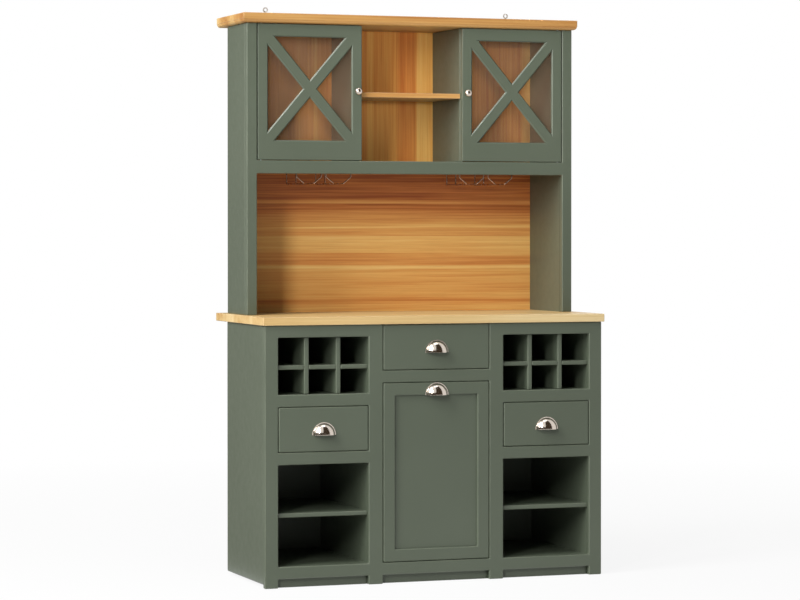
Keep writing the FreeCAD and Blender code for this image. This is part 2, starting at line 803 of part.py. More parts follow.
def drawer(side, wall_x, low, high):
    """An inset front with a cup handle on a five-board box. Returns the cabinet's runners."""
    name = f"drawer_{side}"
    front_x = (f"{wall_x[0]} + front_gap", f"{wall_x[1]} - front_gap")
    front_z = (f"{low} + front_gap", f"{high} - front_gap")
    front_back = f"{FRONT} + front_thick"
    node(box(f"{name}_front_board", front_x, (FRONT, front_back), front_z), f"{name}_front")

    side_gap = "(2 * runner_thick + runner_gap)"
    box_x = (f"{wall_x[0]} + {side_gap}", f"{wall_x[1]} - {side_gap}")
    inner_x = (f"{box_x[0]} + box_board", f"{box_x[1]} - box_board")
    box_y = (front_back, BOX_REAR)
    box_z = (f"{low} + box_lift", f"{high} - box_top_gap")
    near = (box_y[0], f"{box_y[0]} + box_board")
    far = (f"{box_y[1]} - box_board", box_y[1])
    floor_z = f"{box_z[0]} + box_bottom_lift"
    boards = [
        box(f"{name}_side_a", (box_x[0], inner_x[0]), box_y, box_z),
        box(f"{name}_side_b", (inner_x[1], box_x[1]), box_y, box_z),
        box(f"{name}_inner_front", inner_x, near, box_z),
        box(f"{name}_back", inner_x, far, box_z),
        box(f"{name}_bottom", inner_x, (near[1], far[0]), (floor_z, f"{floor_z} + box_bottom_thick")),
    ]
    group(f"{name}_box", boards)
    middle = f"(({box_z[0]}) + ({box_z[1]})) / 2"
    group(f"{name}_slides", slide_pair(f"{name}_slide", wall_x, middle))
    centre = f"(({wall_x[0]}) + ({wall_x[1]})) / 2"
    cup_low = f"(({low}) + ({high})) / 2 - (cup_height + cup_rim) / 2 + cup_lift"
    cup_handle(f"{name}_handle", centre, cup_low)
    return runner_pair(f"{name}_runner", wall_x, middle)


def drawers():
    bays = both(BAY_INNER, BAY_OUTER)
    runners = drawer("left", bays["left"], DRAWER_LOW, DRAWER_HIGH)
    runners += drawer("centre", across(CENTRE_HALF), CENTRE_DRAWER_LOW, CARCASS_TOP)
    runners += drawer("right", bays["right"], DRAWER_LOW, DRAWER_HIGH)
    group("drawer_runners", runners)


def pullout():
    """A framed front on a low open carrier that holds a bin."""
    wall_x = across(CENTRE_HALF)
    x = (f"{wall_x[0]} + front_gap", f"{wall_x[1]} - front_gap")
    low = f"{BAY_FLOOR} + front_gap"
    high = f"{PULLOUT_HIGH} - front_gap"
    y = (FRONT, f"{FRONT} + front_thick")
    inner_x = (f"{x[0]} + pullout_member", f"{x[1]} - pullout_member")
    inner_z = (f"{low} + pullout_member", f"{high} - pullout_member")
    members = [
        box("pullout_stile_a", (x[0], inner_x[0]), y, (low, high)),
        box("pullout_stile_b", (inner_x[1], x[1]), y, (low, high)),
        box("pullout_rail_low", inner_x, y, (low, inner_z[0])),
        box("pullout_rail_high", inner_x, y, (inner_z[1], high)),
    ]
    group("pullout_frame", members)
    panel_y = (f"{FRONT} + pullout_recess", f"{FRONT} + pullout_recess + pullout_panel_thick")
    node(box("pullout_panel_board", inner_x, panel_y, inner_z), "pullout_panel")
    cup_handle("pullout_handle", "0", f"{high} - cup_height - cup_rim")

    side_gap = "(2 * runner_thick + runner_gap)"
    box_x = (f"{wall_x[0]} + {side_gap}", f"{wall_x[1]} - {side_gap}")
    room_x = (f"{box_x[0]} + box_board", f"{box_x[1]} - box_board")
    box_y = (y[1], BOX_REAR)
    box_z = (f"{BAY_FLOOR} + carrier_lift", f"{BAY_FLOOR} + carrier_lift + carrier_height")
    far = (f"{box_y[1]} - box_board", box_y[1])
    floor_high = f"{box_z[0]} + carrier_floor_thick"
    carrier = [
        box("carrier_side_a", (box_x[0], room_x[0]), box_y, box_z),
        box("carrier_side_b", (room_x[1], box_x[1]), box_y, box_z),
        box("carrier_back", room_x, far, box_z),
        box("carrier_floor", room_x, (box_y[0], far[0]), (box_z[0], floor_high)),
    ]
    group("pullout_carrier", carrier)
    middle = f"({box_z[0]} + carrier_height / 2)"
    group("pullout_slides", slide_pair("pullout_slide", wall_x, middle))
    group("pullout_runners", runner_pair("pullout_runner", wall_x, middle))

    bin_tub(room_x[1], (box_y[0], far[0]), floor_high)


def bin_tub(room_half, room, low):
    """An open straight-sided tub with a rim that stands out round its top."""
    half = f"({room_half} - bin_side_gap - bin_rim)"
    y = (f"{room[0]} + bin_gap + bin_rim", f"{room[1]} - bin_gap - bin_rim")
    high = f"{low} + bin_height"
    outer = box("bin_outer", across(half), y, (low, high))
    rim_x = across(f"{half} + bin_rim")
    rim_y = (f"{y[0]} - bin_rim", f"{y[1]} + bin_rim")
    rim = box("bin_rim_slab", rim_x, rim_y, (f"{high} - bin_rim_height", high))
    room_x = across(f"{half} - bin_wall")
    room_y = (f"{y[0]} + bin_wall", f"{y[1]} - bin_wall")
    room = box("bin_room", room_x, room_y, (f"{low} + bin_wall", high))
    node(cut("bin_tub", fuse("bin_solid", outer, rim), room), "bin")


base_carcass()
face_frame()
side_packers()
bottle_racks()
open_shelves()
worktop()
hutch_carcass()
cornice()
hanging_eyes()
stemware_racks()
for side in SIDES:
    glazed_door(side)
drawers()
pullout()
doc.recompute()

for feature in doc.Objects:
    if "Invalid" in feature.State or "Error" in feature.State:
        raise RuntimeError(f"{feature.Label} did not build: {feature.State}")
for feature in NODES:
    if feature.Shape.isNull() or not feature.Shape.isValid():
        raise RuntimeError(f"{feature.Label} has no valid shape")

os.makedirs("parts", exist_ok=True)
for feature in NODES:
    feature.Shape.exportStep(f"parts/{feature.Label}.step")
    print(feature.Label, len(feature.Shape.Solids), round(feature.Shape.Volume))
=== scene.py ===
import json
import math

import bmesh
import bpy
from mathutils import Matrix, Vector
from mathutils.geometry import tessellate_polygon

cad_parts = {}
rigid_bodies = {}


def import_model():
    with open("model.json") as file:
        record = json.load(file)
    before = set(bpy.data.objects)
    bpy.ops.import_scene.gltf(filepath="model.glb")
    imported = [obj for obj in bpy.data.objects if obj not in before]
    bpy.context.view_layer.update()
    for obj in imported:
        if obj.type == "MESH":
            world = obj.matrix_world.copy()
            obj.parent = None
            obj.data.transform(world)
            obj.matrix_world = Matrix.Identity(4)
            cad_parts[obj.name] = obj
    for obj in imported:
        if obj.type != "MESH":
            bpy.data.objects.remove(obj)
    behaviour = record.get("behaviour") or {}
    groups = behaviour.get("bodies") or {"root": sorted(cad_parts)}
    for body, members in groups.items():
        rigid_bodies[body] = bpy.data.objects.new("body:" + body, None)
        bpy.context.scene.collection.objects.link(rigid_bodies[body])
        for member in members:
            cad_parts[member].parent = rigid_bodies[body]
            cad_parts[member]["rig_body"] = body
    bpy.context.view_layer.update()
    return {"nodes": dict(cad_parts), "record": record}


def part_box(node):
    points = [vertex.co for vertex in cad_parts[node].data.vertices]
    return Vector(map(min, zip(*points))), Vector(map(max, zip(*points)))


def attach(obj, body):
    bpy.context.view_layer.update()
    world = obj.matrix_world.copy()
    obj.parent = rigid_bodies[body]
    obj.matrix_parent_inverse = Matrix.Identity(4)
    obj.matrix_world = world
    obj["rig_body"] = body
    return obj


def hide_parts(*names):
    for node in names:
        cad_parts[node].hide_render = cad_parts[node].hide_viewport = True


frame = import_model()

# Lengths are in metres
MM = 0.001
NODES = frame["nodes"]
SLOT_OF = {part["node"]: part["material_slot"] for part in frame["record"]["subparts"]}
scene = bpy.context.scene


def add_object(name, data):
    """A new object in the scene, at the frame's origin."""
    made = bpy.data.objects.new(name, data)
    scene.collection.objects.link(made)
    return made


# Materials

# Most values of a noise texture lie between these two
NOISE_RANGE = (0.3, 0.7)

# The colour sockets of a Mix node, which share their names with others of its sockets
MIX_FIRST = 6
MIX_SECOND = 7
MIX_RESULT = 2


def srgb(red, green, blue):
    """A colour written as 0-255 screen values, as the linear values that shaders take."""
    linear = []
    for value in (red, green, blue):
        v = value / 255
        linear.append(v / 12.92 if v <= 0.04045 else ((v + 0.055) / 1.055) ** 2.4)
    return (*linear, 1.0)


class Paint:
    """A material under construction: its node tree, its shader and its object coordinates."""

    def __init__(self, name):
        self.material = bpy.data.materials.new(name)
        self.material.use_nodes = True
        self.tree = self.material.node_tree
        self.shader = self.tree.nodes["Principled BSDF"]
        self.place = self.add("ShaderNodeTexCoord").outputs["Object"]

    def add(self, kind, **settings):
        made = self.tree.nodes.new(kind)
        for key, value in settings.items():
            setattr(made, key, value)
        return made

    def feed(self, socket, value):
        """Links another node's output to a socket, or sets the socket to a constant."""
        if isinstance(value, bpy.types.NodeSocket):
            self.tree.links.new(value, socket)
        else:
            socket.default_value = value

    def math(self, operation, first, second=0.0):
        step = self.add("ShaderNodeMath", operation=operation)
        self.feed(step.inputs[0], first)
        self.feed(step.inputs[1], second)
        return step.outputs[0]

    def vector_math(self, operation, first, second):
        step = self.add("ShaderNodeVectorMath", operation=operation)
        self.feed(step.inputs[0], first)
        self.feed(step.inputs[1], second)
        return step.outputs[0]

    def coordinate(self, axis):
        """The object coordinate along one axis, named by its letter."""
        step = self.add("ShaderNodeSeparateXYZ")
        self.feed(step.inputs[0], self.place)
        return step.outputs[axis]

    def noise(self, scale, detail=2.0, roughness=0.5, distortion=0.0, place=None):
        """Noise with a scale in cycles per metre: one number, or one for each axis."""
        scales = scale if isinstance(scale, tuple) else (scale, scale, scale)
        step = self.add("ShaderNodeTexNoise")
        stretched = self.vector_math("MULTIPLY", place or self.place, scales)
        self.feed(step.inputs["Vector"], stretched)
        step.inputs["Scale"].default_value = 1.0
        step.inputs["Detail"].default_value = detail
        step.inputs["Roughness"].default_value = roughness
        step.inputs["Distortion"].default_value = distortion
        return step.outputs["Fac"]

    def remap(self, value, low, high, to_low=0.0, to_high=1.0):
        step = self.add("ShaderNodeMapRange", clamp=True)
        self.feed(step.inputs["Value"], value)
        step.inputs["From Min"].default_value = low
        step.inputs["From Max"].default_value = high
        step.inputs["To Min"].default_value = to_low
        step.inputs["To Max"].default_value = to_high
        return step.outputs[0]

    def ramp(self, value, stops):
        step = self.add("ShaderNodeValToRGB")
        elements = step.color_ramp.elements
        for number, (position, colour) in enumerate(stops):
            element = elements[number] if number < 2 else elements.new(position)
            element.position = position
            element.color = colour
        self.feed(step.inputs["Fac"], value)
        return step.outputs["Color"]

    def mix(self, fac, first, second):
        step = self.add("ShaderNodeMix", data_type="RGBA")
        self.feed(step.inputs["Factor"], fac)
        self.feed(step.inputs[MIX_FIRST], first)
        self.feed(step.inputs[MIX_SECOND], second)
        return step.outputs[MIX_RESULT]

    def bump(self, height, strength, distance):
        step = self.add("ShaderNodeBump")
        step.inputs["Strength"].default_value = strength
        step.inputs["Distance"].default_value = distance
        self.feed(step.inputs["Height"], height)
        self.tree.links.new(step.outputs["Normal"], self.shader.inputs["Normal"])

    def set(self, **inputs):
        """Feeds the shader's inputs, with _ for a space in their names, and gives the material."""
        for name, value in inputs.items():
            self.feed(self.shader.inputs[name.replace("_", " ")], value)
        return self.material


PAINT_TONE = srgb(85, 93, 78)


def green_paint(name, deep, pale, patches):
    """Satin paint on board: a faint roller stipple, and changes of tone and gloss."""
    paint = Paint(name)
    tone = paint.remap(paint.noise(patches, detail=3), *NOISE_RANGE)
    colour = paint.mix(tone, deep, pale)
    cloud = paint.noise(38, detail=4)
    gloss = paint.remap(cloud, *NOISE_RANGE, to_low=0.34, to_high=0.42)
    stipple = paint.noise(620, detail=3, roughness=0.6)
    paint.bump(stipple, strength=0.12, distance=0.25 * MM)
    return paint.set(Base_Color=colour, Roughness=gloss)


def plank_tones(wood, across, start, pitch, planks, waver):
    """Glued-up planks: each is a list of (share of its width, tone), and the list repeats."""
    count = wood.math("DIVIDE", wood.math("SUBTRACT", wood.coordinate(across), start), pitch)
    inside = wood.math("FRACT", count)
    room = wood.math("MULTIPLY", inside, wood.math("SUBTRACT", 1.0, inside))
    bent = wood.math("ADD", count, wood.math("MULTIPLY", room, waver))
    turn = wood.math("FRACT", wood.math("DIVIDE", bent, len(planks)))
    stops = []
    for number, plank in enumerate(planks):
        for share, tone in plank:
            stops.append(((number + share) / len(planks), (tone, tone, tone, 1)))
    return wood.ramp(turn, stops)


SEED_WAY = (1.0, 0.7, 1.3)
BROAD_WEIGHT = 0.9
FINE_WEIGHT = 0.36
FIGURE_SHIFT = 0.13
PORE_TONE = srgb(120, 66, 30)
PORE_STRENGTH = 0.16


def oak(name, along, palette, seed=0.0, planks=None, painted_beyond=None):
    """Lacquered oak with its grain along one axis: broad bands, streaks and fine pores.

    Side edges that lie further from the middle than painted_beyond are painted with the cabinet.
    """
    wood = Paint(name)

    def grain(lengthwise, crosswise):
        return tuple(lengthwise if axis == along else crosswise for axis in "XYZ")

    place = wood.vector_math("ADD", wood.place, tuple(seed * share for share in SEED_WAY))
    bands = wood.noise(grain(0.5, 11), detail=2, roughness=0.55, distortion=0.25, place=place)
    streaks = wood.noise(grain(2.0, 150), detail=4, roughness=0.6, distortion=0.15, place=place)
    pores = wood.noise(grain(9, 520), detail=3, roughness=0.65, place=place)
    if planks:
        waver = wood.remap(bands, *NOISE_RANGE, to_low=-0.5, to_high=0.5)
        broad = plank_tones(wood, waver=waver, **planks)
    else:
        broad = wood.remap(bands, 0.32, 0.68)
    broad = wood.math("MULTIPLY", broad, BROAD_WEIGHT)
    fine = wood.math("MULTIPLY", wood.remap(streaks, *NOISE_RANGE), FINE_WEIGHT)
    figure = wood.math("SUBTRACT", wood.math("ADD", broad, fine), FIGURE_SHIFT)
    last = len(palette) - 1
    colour = wood.ramp(figure, [(number / last, tone) for number, tone in enumerate(palette)])
    dark_pore = wood.remap(pores, 0.3, 0.46, to_low=PORE_STRENGTH, to_high=0.0)
    colour = wood.mix(dark_pore, colour, PORE_TONE)
    if painted_beyond:
        sideways = wood.math("ABSOLUTE", wood.coordinate("X"))
        colour = wood.mix(wood.math("GREATER_THAN", sideways, painted_beyond), colour, PAINT_TONE)
    wood.bump(pores, strength=0.1, distance=0.3 * MM)
    gloss = wood.remap(streaks, *NOISE_RANGE, to_low=0.34, to_high=0.46)
    return wood.set(Base_Color=colour, Roughness=gloss)


CLOUD_SHADE = 0.92


def polished_metal(name, colour, roughness, scratch):
    """Plated metal with a little cloudiness and hair-fine polishing marks."""
    metal = Paint(name)
    cloud = metal.noise(90, detail=4)
    gloss = metal.remap(cloud, *NOISE_RANGE, to_low=roughness * 0.7, to_high=roughness * 1.4)
    shaded = tuple(CLOUD_SHADE * value for value in colour[:3]) + (1,)
    tint = metal.mix(metal.remap(cloud, *NOISE_RANGE), colour, shaded)
    marks = metal.noise((300, 2600, 300), detail=2)
    metal.bump(marks, strength=scratch, distance=0.05 * MM)
    return metal.set(Base_Color=tint, Roughness=gloss, Metallic=1.0)


def clear_glass():
    """A thin pane: mostly see-through, with a faint warm haze that catches the light."""
    glass = Paint("clear_glass")
    smear = glass.noise(9, detail=3)
    haze = glass.mix(glass.remap(smear, 0.35, 0.65), srgb(172, 140, 114), srgb(184, 152, 126))
    gloss = glass.remap(smear, *NOISE_RANGE, to_low=0.02, to_high=0.06)
    return glass.set(Base_Color=haze, Roughness=gloss, Alpha=0.1)


def bin_plastic():
    """Dark moulded plastic with a fine texture."""
    plastic = Paint("bin_plastic")
    tone = plastic.remap(plastic.noise(14, detail=3), *NOISE_RANGE)
    colour = plastic.mix(tone, srgb(52, 55, 54), srgb(60, 63, 62))
    plastic.bump(plastic.noise(900, detail=2), strength=0.2, distance=0.2 * MM)
    return plastic.set(Base_Color=colour, Roughness=0.55)


# Tones of each wood, from dark to pale
TOP_TONES = [srgb(184, 142, 84), srgb(203, 169, 111), srgb(213, 183, 128), srgb(225, 200, 150)]
CORNICE_TONES = [srgb(167, 112, 54), srgb(189, 142, 80), srgb(203, 164, 103), srgb(213, 182, 127)]
NICHE_TONES = [
    srgb(158, 79, 33),
    srgb(205, 123, 57),
    srgb(227, 160, 85),
    srgb(239, 187, 107),
    srgb(248, 208, 135),
]
UPPER_TONES = [
    srgb(178, 88, 34),
    srgb(206, 118, 48),
    srgb(226, 151, 69),
    srgb(238, 177, 88),
    srgb(246, 197, 110),
]
BIRCH_TONES = [srgb(198, 168, 122), srgb(216, 190, 148), srgb(226, 204, 166)]

# Planks of the two back panels, from the lowest up and from the left, with tones from 0 to 1; the
# niche's top plank also carries painted shade
PLANK_PITCH = 0.113
NICHE_START = 0.814
NICHE_PLANKS_AND_SHADE = [
    [(0.0, 0.65), (0.8, 0.65), (0.97, 0.35)],
    [(0.0, 0.35), (0.07, 0.62), (0.6, 0.58), (0.98, 0.64)],
    [(0.0, 0.96), (0.07, 0.92), (0.13, 0.4), (0.35, 0.46), (0.5, 0.7), (0.98, 0.78)],
    [(0.0, 0.5), (0.14, 0.5), (0.2, 0.84), (0.25, 0.5), (0.55, 0.42), (0.75, 0.2), (0.98, 0.12)],
    # The niche's top plank is painted shade: its tones near 0 paint the shadow under the hutch's
    # floor, darker than the wood's own tone
    [(0.0, 0.46), (0.07, 0.44), (0.12, 0.1), (0.98, 0.06)],
]
UPPER_START = -0.624
UPPER_PLANKS = [
    [(0.0, 0.3), (0.12, 0.32), (0.18, 0.72), (0.98, 0.7)],
    [(0.0, 0.3)],
    [(0.0, 0.4), (0.98, 0.44)],
    [(0.0, 0.46), (0.22, 0.48), (0.26, 0.84), (0.38, 0.46), (0.98, 0.38)],
    [(0.0, 0.5), (0.98, 0.38)],
    [(0.0, 0.8), (0.13, 0.78), (0.17, 0.55), (0.8, 0.6), (0.98, 0.52)],
    [(0.0, 0.3), (0.6, 0.34), (0.66, 0.82), (0.98, 0.86)],
    [(0.0, 0.8), (0.12, 0.72), (0.2, 0.4)],
    [(0.0, 0.44), (0.98, 0.4)],
    [(0.0, 0.38), (0.98, 0.42)],
]

BACK_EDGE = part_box("niche_back_panel")[1].x - 0.5 * MM
CORNICE_SEED = 3.7

GREEN = green_paint("green_paint", srgb(83, 91, 76), srgb(87, 95, 80), patches=2.6)
OAK_TOP = oak("oak_long_grain", "X", TOP_TONES)
OAK_CORNICE = oak("oak_cornice", "X", CORNICE_TONES, seed=CORNICE_SEED)
OAK_NICHE = oak(
    "oak_niche_back",
    "X",
    NICHE_TONES,
    seed=2.3,
    planks={"across": "Z", "start": NICHE_START, "pitch": PLANK_PITCH, "planks": NICHE_PLANKS_AND_SHADE},
    painted_beyond=BACK_EDGE,
)
OAK_UPPER = oak(
    "oak_upper_back",
    "Z",
    UPPER_TONES,
    seed=5.1,
    planks={"across": "X", "start": UPPER_START, "pitch": PLANK_PITCH, "planks": UPPER_PLANKS},
    painted_beyond=BACK_EDGE,
)
BIRCH = oak("birch_boards", "Y", BIRCH_TONES, seed=1.7)
NICKEL = polished_metal("polished_nickel", srgb(214, 203, 191), roughness=0.13, scratch=0.05)
STEEL = polished_metal("zinc_plated_steel", srgb(190, 192, 194), roughness=0.3, scratch=0.2)
EYE_ZINC = polished_metal("pale_zinc", srgb(232, 232, 230), roughness=0.5, scratch=0.1)
WIRE = polished_metal("chrome_wire", srgb(190, 160, 140), roughness=0.25, scratch=0.05)
GLASS = clear_glass()
PLASTIC = bin_plastic()

WORN = 0.06


def rubbed(palette):
    """The tones of an edge that hands and cloths have worn: a little paler than the face."""
    return [tuple(tone + WORN * (1 - tone) for tone in colour[:3]) + (1,) for colour in palette]


# The worn edges of each material that boards with broken edges have
RUBBED = {
    GREEN.name: green_paint("green_paint_rubbed", PAINT_TONE, srgb(99, 106, 90), patches=14),
    OAK_TOP.name: oak("oak_long_rubbed", "X", rubbed(TOP_TONES)),
    OAK_CORNICE.name: oak("oak_cornice_rubbed", "X", rubbed(CORNICE_TONES), seed=CORNICE_SEED),
}
RUBBED_INDEX = 1

FINISH = {
    "green_paint": GREEN,
    "oak": OAK_TOP,
    "birch": BIRCH,
    "nickel": NICKEL,
    "steel": STEEL,
    "chrome_wire": WIRE,
    "clear_glass": GLASS,
    "bin_plastic": PLASTIC,
}
SPECIAL = {
    "niche_back_panel": OAK_NICHE,
    "upper_back_panel": OAK_UPPER,
    "cornice": OAK_CORNICE,
    "centre_shelf": OAK_CORNICE,
    "hanging_eyes": EYE_ZINC,
}


def finish_of(node):
    """A node's own material, or else that of its slot in the record."""
    return SPECIAL.get(node) or FINISH[SLOT_OF[node]]


def give(piece, material):
    piece.data.materials.clear()
    piece.data.materials.append(material)


# Pieces: boards with broken edges in place of the sharp CAD boards

ROUNDING = 2.0 * MM
ROUNDING_STEPS = 3
CHAMFER = 2.4 * MM
PANE_CHAMFER = 4.0 * MM
RIM_CHAMFER = 1.4 * MM

# Which edges are broken: how far they turn, how long they are, and how wide their faces are
SHARP = math.radians(35)
SHORTEST = 4 * MM
NARROWEST = 6 * MM

# What counts as the same point, as one plane, and as a door's front face
SAME_POINT = 0.01 * MM
SAME_PLANE = math.radians(0.5)
FRONT_NORMAL = -0.99
FRONT_DEPTH = 0.1 * MM


def body_of(node):
    return NODES[node]["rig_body"]


def joined_mesh(node):
    """A CAD node's triangles in a bmesh, with split corners joined."""
    work = bmesh.new()
    work.from_mesh(NODES[node].data)
    bmesh.ops.remove_doubles(work, verts=work.verts, dist=SAME_POINT)
    return work


def merge_flat_faces(work):
    bmesh.ops.dissolve_limit(work, angle_limit=SAME_PLANE, verts=work.verts, edges=work.edges)


def clean_mesh(node):
    """A CAD node in a bmesh, with split corners joined and flat faces whole."""
    work = joined_mesh(node)
    merge_flat_faces(work)
    return work


def sharp_edges(work):
    """Long sharp edges between faces wide enough to lose a strip, unlike those of a moulding."""
    return [
        edge
        for edge in work.edges
        if len(edge.link_faces) == 2
        and edge.calc_face_angle(0.0) > SHARP
        and edge.calc_length() > SHORTEST
        and min(face.calc_area() for face in edge.link_faces) > NARROWEST * edge.calc_length()
    ]


def place_piece(name, work, nodes, material):
    """A piece from a bmesh, with a second material for worn edges, in the nodes' place."""
    mesh = bpy.data.meshes.new(name)
    work.to_mesh(mesh)
    work.free()
    piece = add_object(name, mesh)
    give(piece, material)
    piece.data.materials.append(RUBBED[material.name])
    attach(piece, body_of(nodes[0]))
    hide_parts(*nodes)
    return piece


def eased_piece(name, work, nodes, material):
    """A piece with its long sharp edges broken: flat chamfers on paint, roundings on bare wood."""
    painted = material == GREEN
    weight = work.edges.layers.float.new("bevel_weight_edge")
    broken = set(sharp_edges(work))
    for edge in work.edges:
        edge[weight] = 1.0 if edge in broken else 0.0
        edge.smooth = edge in broken or edge.calc_face_angle(0.0) < SHARP
    for face in work.faces:
        face.smooth = not painted
    # The bevel can leave stray triangles in a concave face
    bmesh.ops.connect_verts_concave(work, faces=work.faces)
    piece = place_piece(name, work, nodes, material)
    bevel = piece.modifiers.new("broken_edges", "BEVEL")
    bevel.width = CHAMFER if painted else ROUNDING
    bevel.segments = 1 if painted else ROUNDING_STEPS
    bevel.limit_method = "WEIGHT"
    bevel.material = RUBBED_INDEX
    bevel.use_clamp_overlap = False
    if not painted:
        shading = piece.modifiers.new("flat_faces", "WEIGHTED_NORMAL")
        shading.keep_sharp = True


def islands(node):
    """The (low, high) boxes of a node's separate solids."""
    work = clean_mesh(node)
    left = set(work.verts)
    boxes = []
    while left:
        queue = [left.pop()]
        found = []
        while queue:
            vert = queue.pop()
            found.append(vert.co.copy())
            for edge in vert.link_edges:
                other = edge.other_vert(vert)
                if other in left:
                    left.remove(other)
                    queue.append(other)
        low = Vector(min(point[axis] for point in found) for axis in range(3))
        high = Vector(max(point[axis] for point in found) for axis in range(3))
        boxes.append((low, high))
    work.free()
    return boxes


def steps_of(boxes, axis):
    """The different coordinates at which boxes begin and end."""
    found = []
    for value in sorted(corner[axis] for box in boxes for corner in box):
        if not found or value - found[-1] > SAME_POINT:
            found.append(value)
    return found


def joined_frame(name, nodes):
    """Flush frame members in one plane as a single plate, with no lines where they meet."""
    boxes = [box for node in nodes for box in islands(node)]
    near = min(low.y for low, high in boxes)
    far = max(high.y for low, high in boxes)
    xs = steps_of(boxes, 0)
    zs = steps_of(boxes, 2)
    work = bmesh.new()
    corners = {}

    def corner(column, row, y):
        key = (column, row, y)
        if key not in corners:
            corners[key] = work.verts.new((xs[column], y, zs[row]))
        return corners[key]

    def solid(column, row):
        if not (0 <= column < len(xs) - 1 and 0 <= row < len(zs) - 1):
            return False
        x = (xs[column] + xs[column + 1]) / 2
        z = (zs[row] + zs[row + 1]) / 2
        return any(low.x < x < high.x and low.z < z < high.z for low, high in boxes)

    for column in range(len(xs) - 1):
        for row in range(len(zs) - 1):
            if not solid(column, row):
                continue
            ring = [(column, row), (column + 1, row), (column + 1, row + 1), (column, row + 1)]
            work.faces.new([corner(*c, near) for c in ring])
            work.faces.new([corner(*c, far) for c in reversed(ring)])
            beside = [(column, row - 1), (column + 1, row), (column, row + 1), (column - 1, row)]
            for side, other in enumerate(beside):
                if not solid(*other):
                    first = ring[side]
                    second = ring[(side + 1) % 4]
                    edge = [(second, near), (first, near), (first, far), (second, far)]
                    work.faces.new([corner(*c, y) for c, y in edge])
    merge_flat_faces(work)
    eased_piece(name, work, nodes, GREEN)


joined_frame("face_frame", ["face_frame_stiles", "face_frame_rails"])
joined_frame("hutch_face_frame", ["hutch_stiles", "hutch_rail"])

EASED_BOARDS = [
    "base_end_panels",
    "plinth_boards",
    "rack_shelves",
    "rack_dividers",
    "open_shelves",
    "hutch_end_panels",
    "hutch_dividers",
    "drawer_left_front",
    "drawer_centre_front",
    "drawer_right_front",
    "worktop",
    "cornice",
    "centre_shelf",
]
for node in EASED_BOARDS:
    eased_piece(node + "_eased", clean_mesh(node), [node], finish_of(node))


def outlines(faces):
    """The closed outlines of some faces, each as its vertices in order."""
    inside = set(faces)
    ways = {}
    for face in faces:
        for loop in face.loops:
            if not any(other in inside for other in loop.edge.link_faces if other != face):
                ways[loop.vert] = loop.link_loop_next.vert
    found = []
    while ways:
        first = vert = next(iter(ways))
        ring = []
        while vert in ways:
            ring.append(vert)
            vert = ways.pop(vert)
        assert vert == first
        found.append(ring)
    return found


def moved_sideways(ring, distance):
    """The corners of an outline in the XZ plane, with every side moved to its left."""
    moved = []
    for number, vert in enumerate(ring):
        here = vert.co.xz
        before = ring[number - 1].co.xz
        after = ring[(number + 1) % len(ring)].co.xz
        come = (here - before).normalized()
        go = (after - here).normalized()
        left_come = Vector((-come.y, come.x))
        left_go = Vector((-go.y, go.x))
        shift = (left_come + left_go) * distance / (1 + left_come.dot(left_go))
        moved.append(here + shift)
    return moved


def chamfered_door(node):
    """A glazed door's frame and bars, with chamfers that run in towards the panes."""
    work = joined_mesh(node)
    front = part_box(node)[0].y
    faces = [
        face
        for face in work.faces
        if face.normal.y < FRONT_NORMAL and face.calc_center_median().y < front + FRONT_DEPTH
    ]
    rings = outlines(faces)
    bmesh.ops.delete(work, geom=faces, context="FACES_ONLY")
    # The door's rim comes first, because it reaches furthest left
    rings.sort(key=lambda ring: min(vert.co.x for vert in ring))
    flat = []
    corners = []
    for ring in rings:
        rim = ring is rings[0]
        depth = RIM_CHAMFER if rim else PANE_CHAMFER
        as_built = moved_sideways(ring, 0)
        near = moved_sideways(ring, depth) if rim else as_built
        behind = as_built if rim else moved_sideways(ring, -depth)
        new = [work.verts.new((place.x, front, place.y)) for place in near]
        for number, vert in enumerate(ring):
            after = (number + 1) % len(ring)
            chamfer = work.faces.new([vert, ring[after], new[after], new[number]])
            chamfer.material_index = RUBBED_INDEX
        for vert, place in zip(ring, behind):
            vert.co = (place.x, front + depth, place.y)
        flat.append([Vector((place.x, place.y, 0)) for place in near])
        corners += new
    for triangle in tessellate_polygon(flat):
        work.faces.new([corners[number] for number in triangle])
    bmesh.ops.recalc_face_normals(work, faces=work.faces)
    place_piece(node + "_chamfered", work, [node], finish_of(node))


chamfered_door("door_left_frame")
chamfered_door("door_right_frame")


def rectangle(low, high):
    """The four corners of a flat rectangle in order, from two opposite ones."""
    return [(low[0], low[1]), (high[0], low[1]), (high[0], high[1]), (low[0], high[1])]


def shaker_frame():
    """The pull-out's four members as one routed frame, eased at its edges only."""
    node = "pullout_frame"
    low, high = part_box(node)
    panel_low, panel_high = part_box("pullout_panel")
    work = bmesh.new()
    rings = []
    for y in (low.y, high.y):
        for first, second in ((low, high), (panel_low, panel_high)):
            rings.append([work.verts.new((x, y, z)) for x, z in rectangle(first.xz, second.xz)])
    outer_near, inner_near, outer_far, inner_far = rings
    for side in range(4):
        after = (side + 1) % 4
        for first, second in (
            (outer_near, inner_near),
            (inner_near, inner_far),
            (inner_far, outer_far),
            (outer_far, outer_near),
        ):
            work.faces.new([first[side], first[after], second[after], second[side]])
    bmesh.ops.recalc_face_normals(work, faces=work.faces)
    eased_piece("pullout_shaker_frame", work, [node], GREEN)


shaker_frame()

for name, node in NODES.items():
    give(node, finish_of(name))


# Stage

WHITE = (1.0, 1.0, 1.0, 1.0)
FLOOR_HALF = 40.0
FLOOR_GREY = (0.74, 0.74, 0.74, 1.0)

# The floor's own glow hides its shadows: not wholly near the object, and wholly far from it
GLOW_NEAR = 0.9
GLOW_FAR = 1.0
NEAR = 0.8
FAR = 5.0


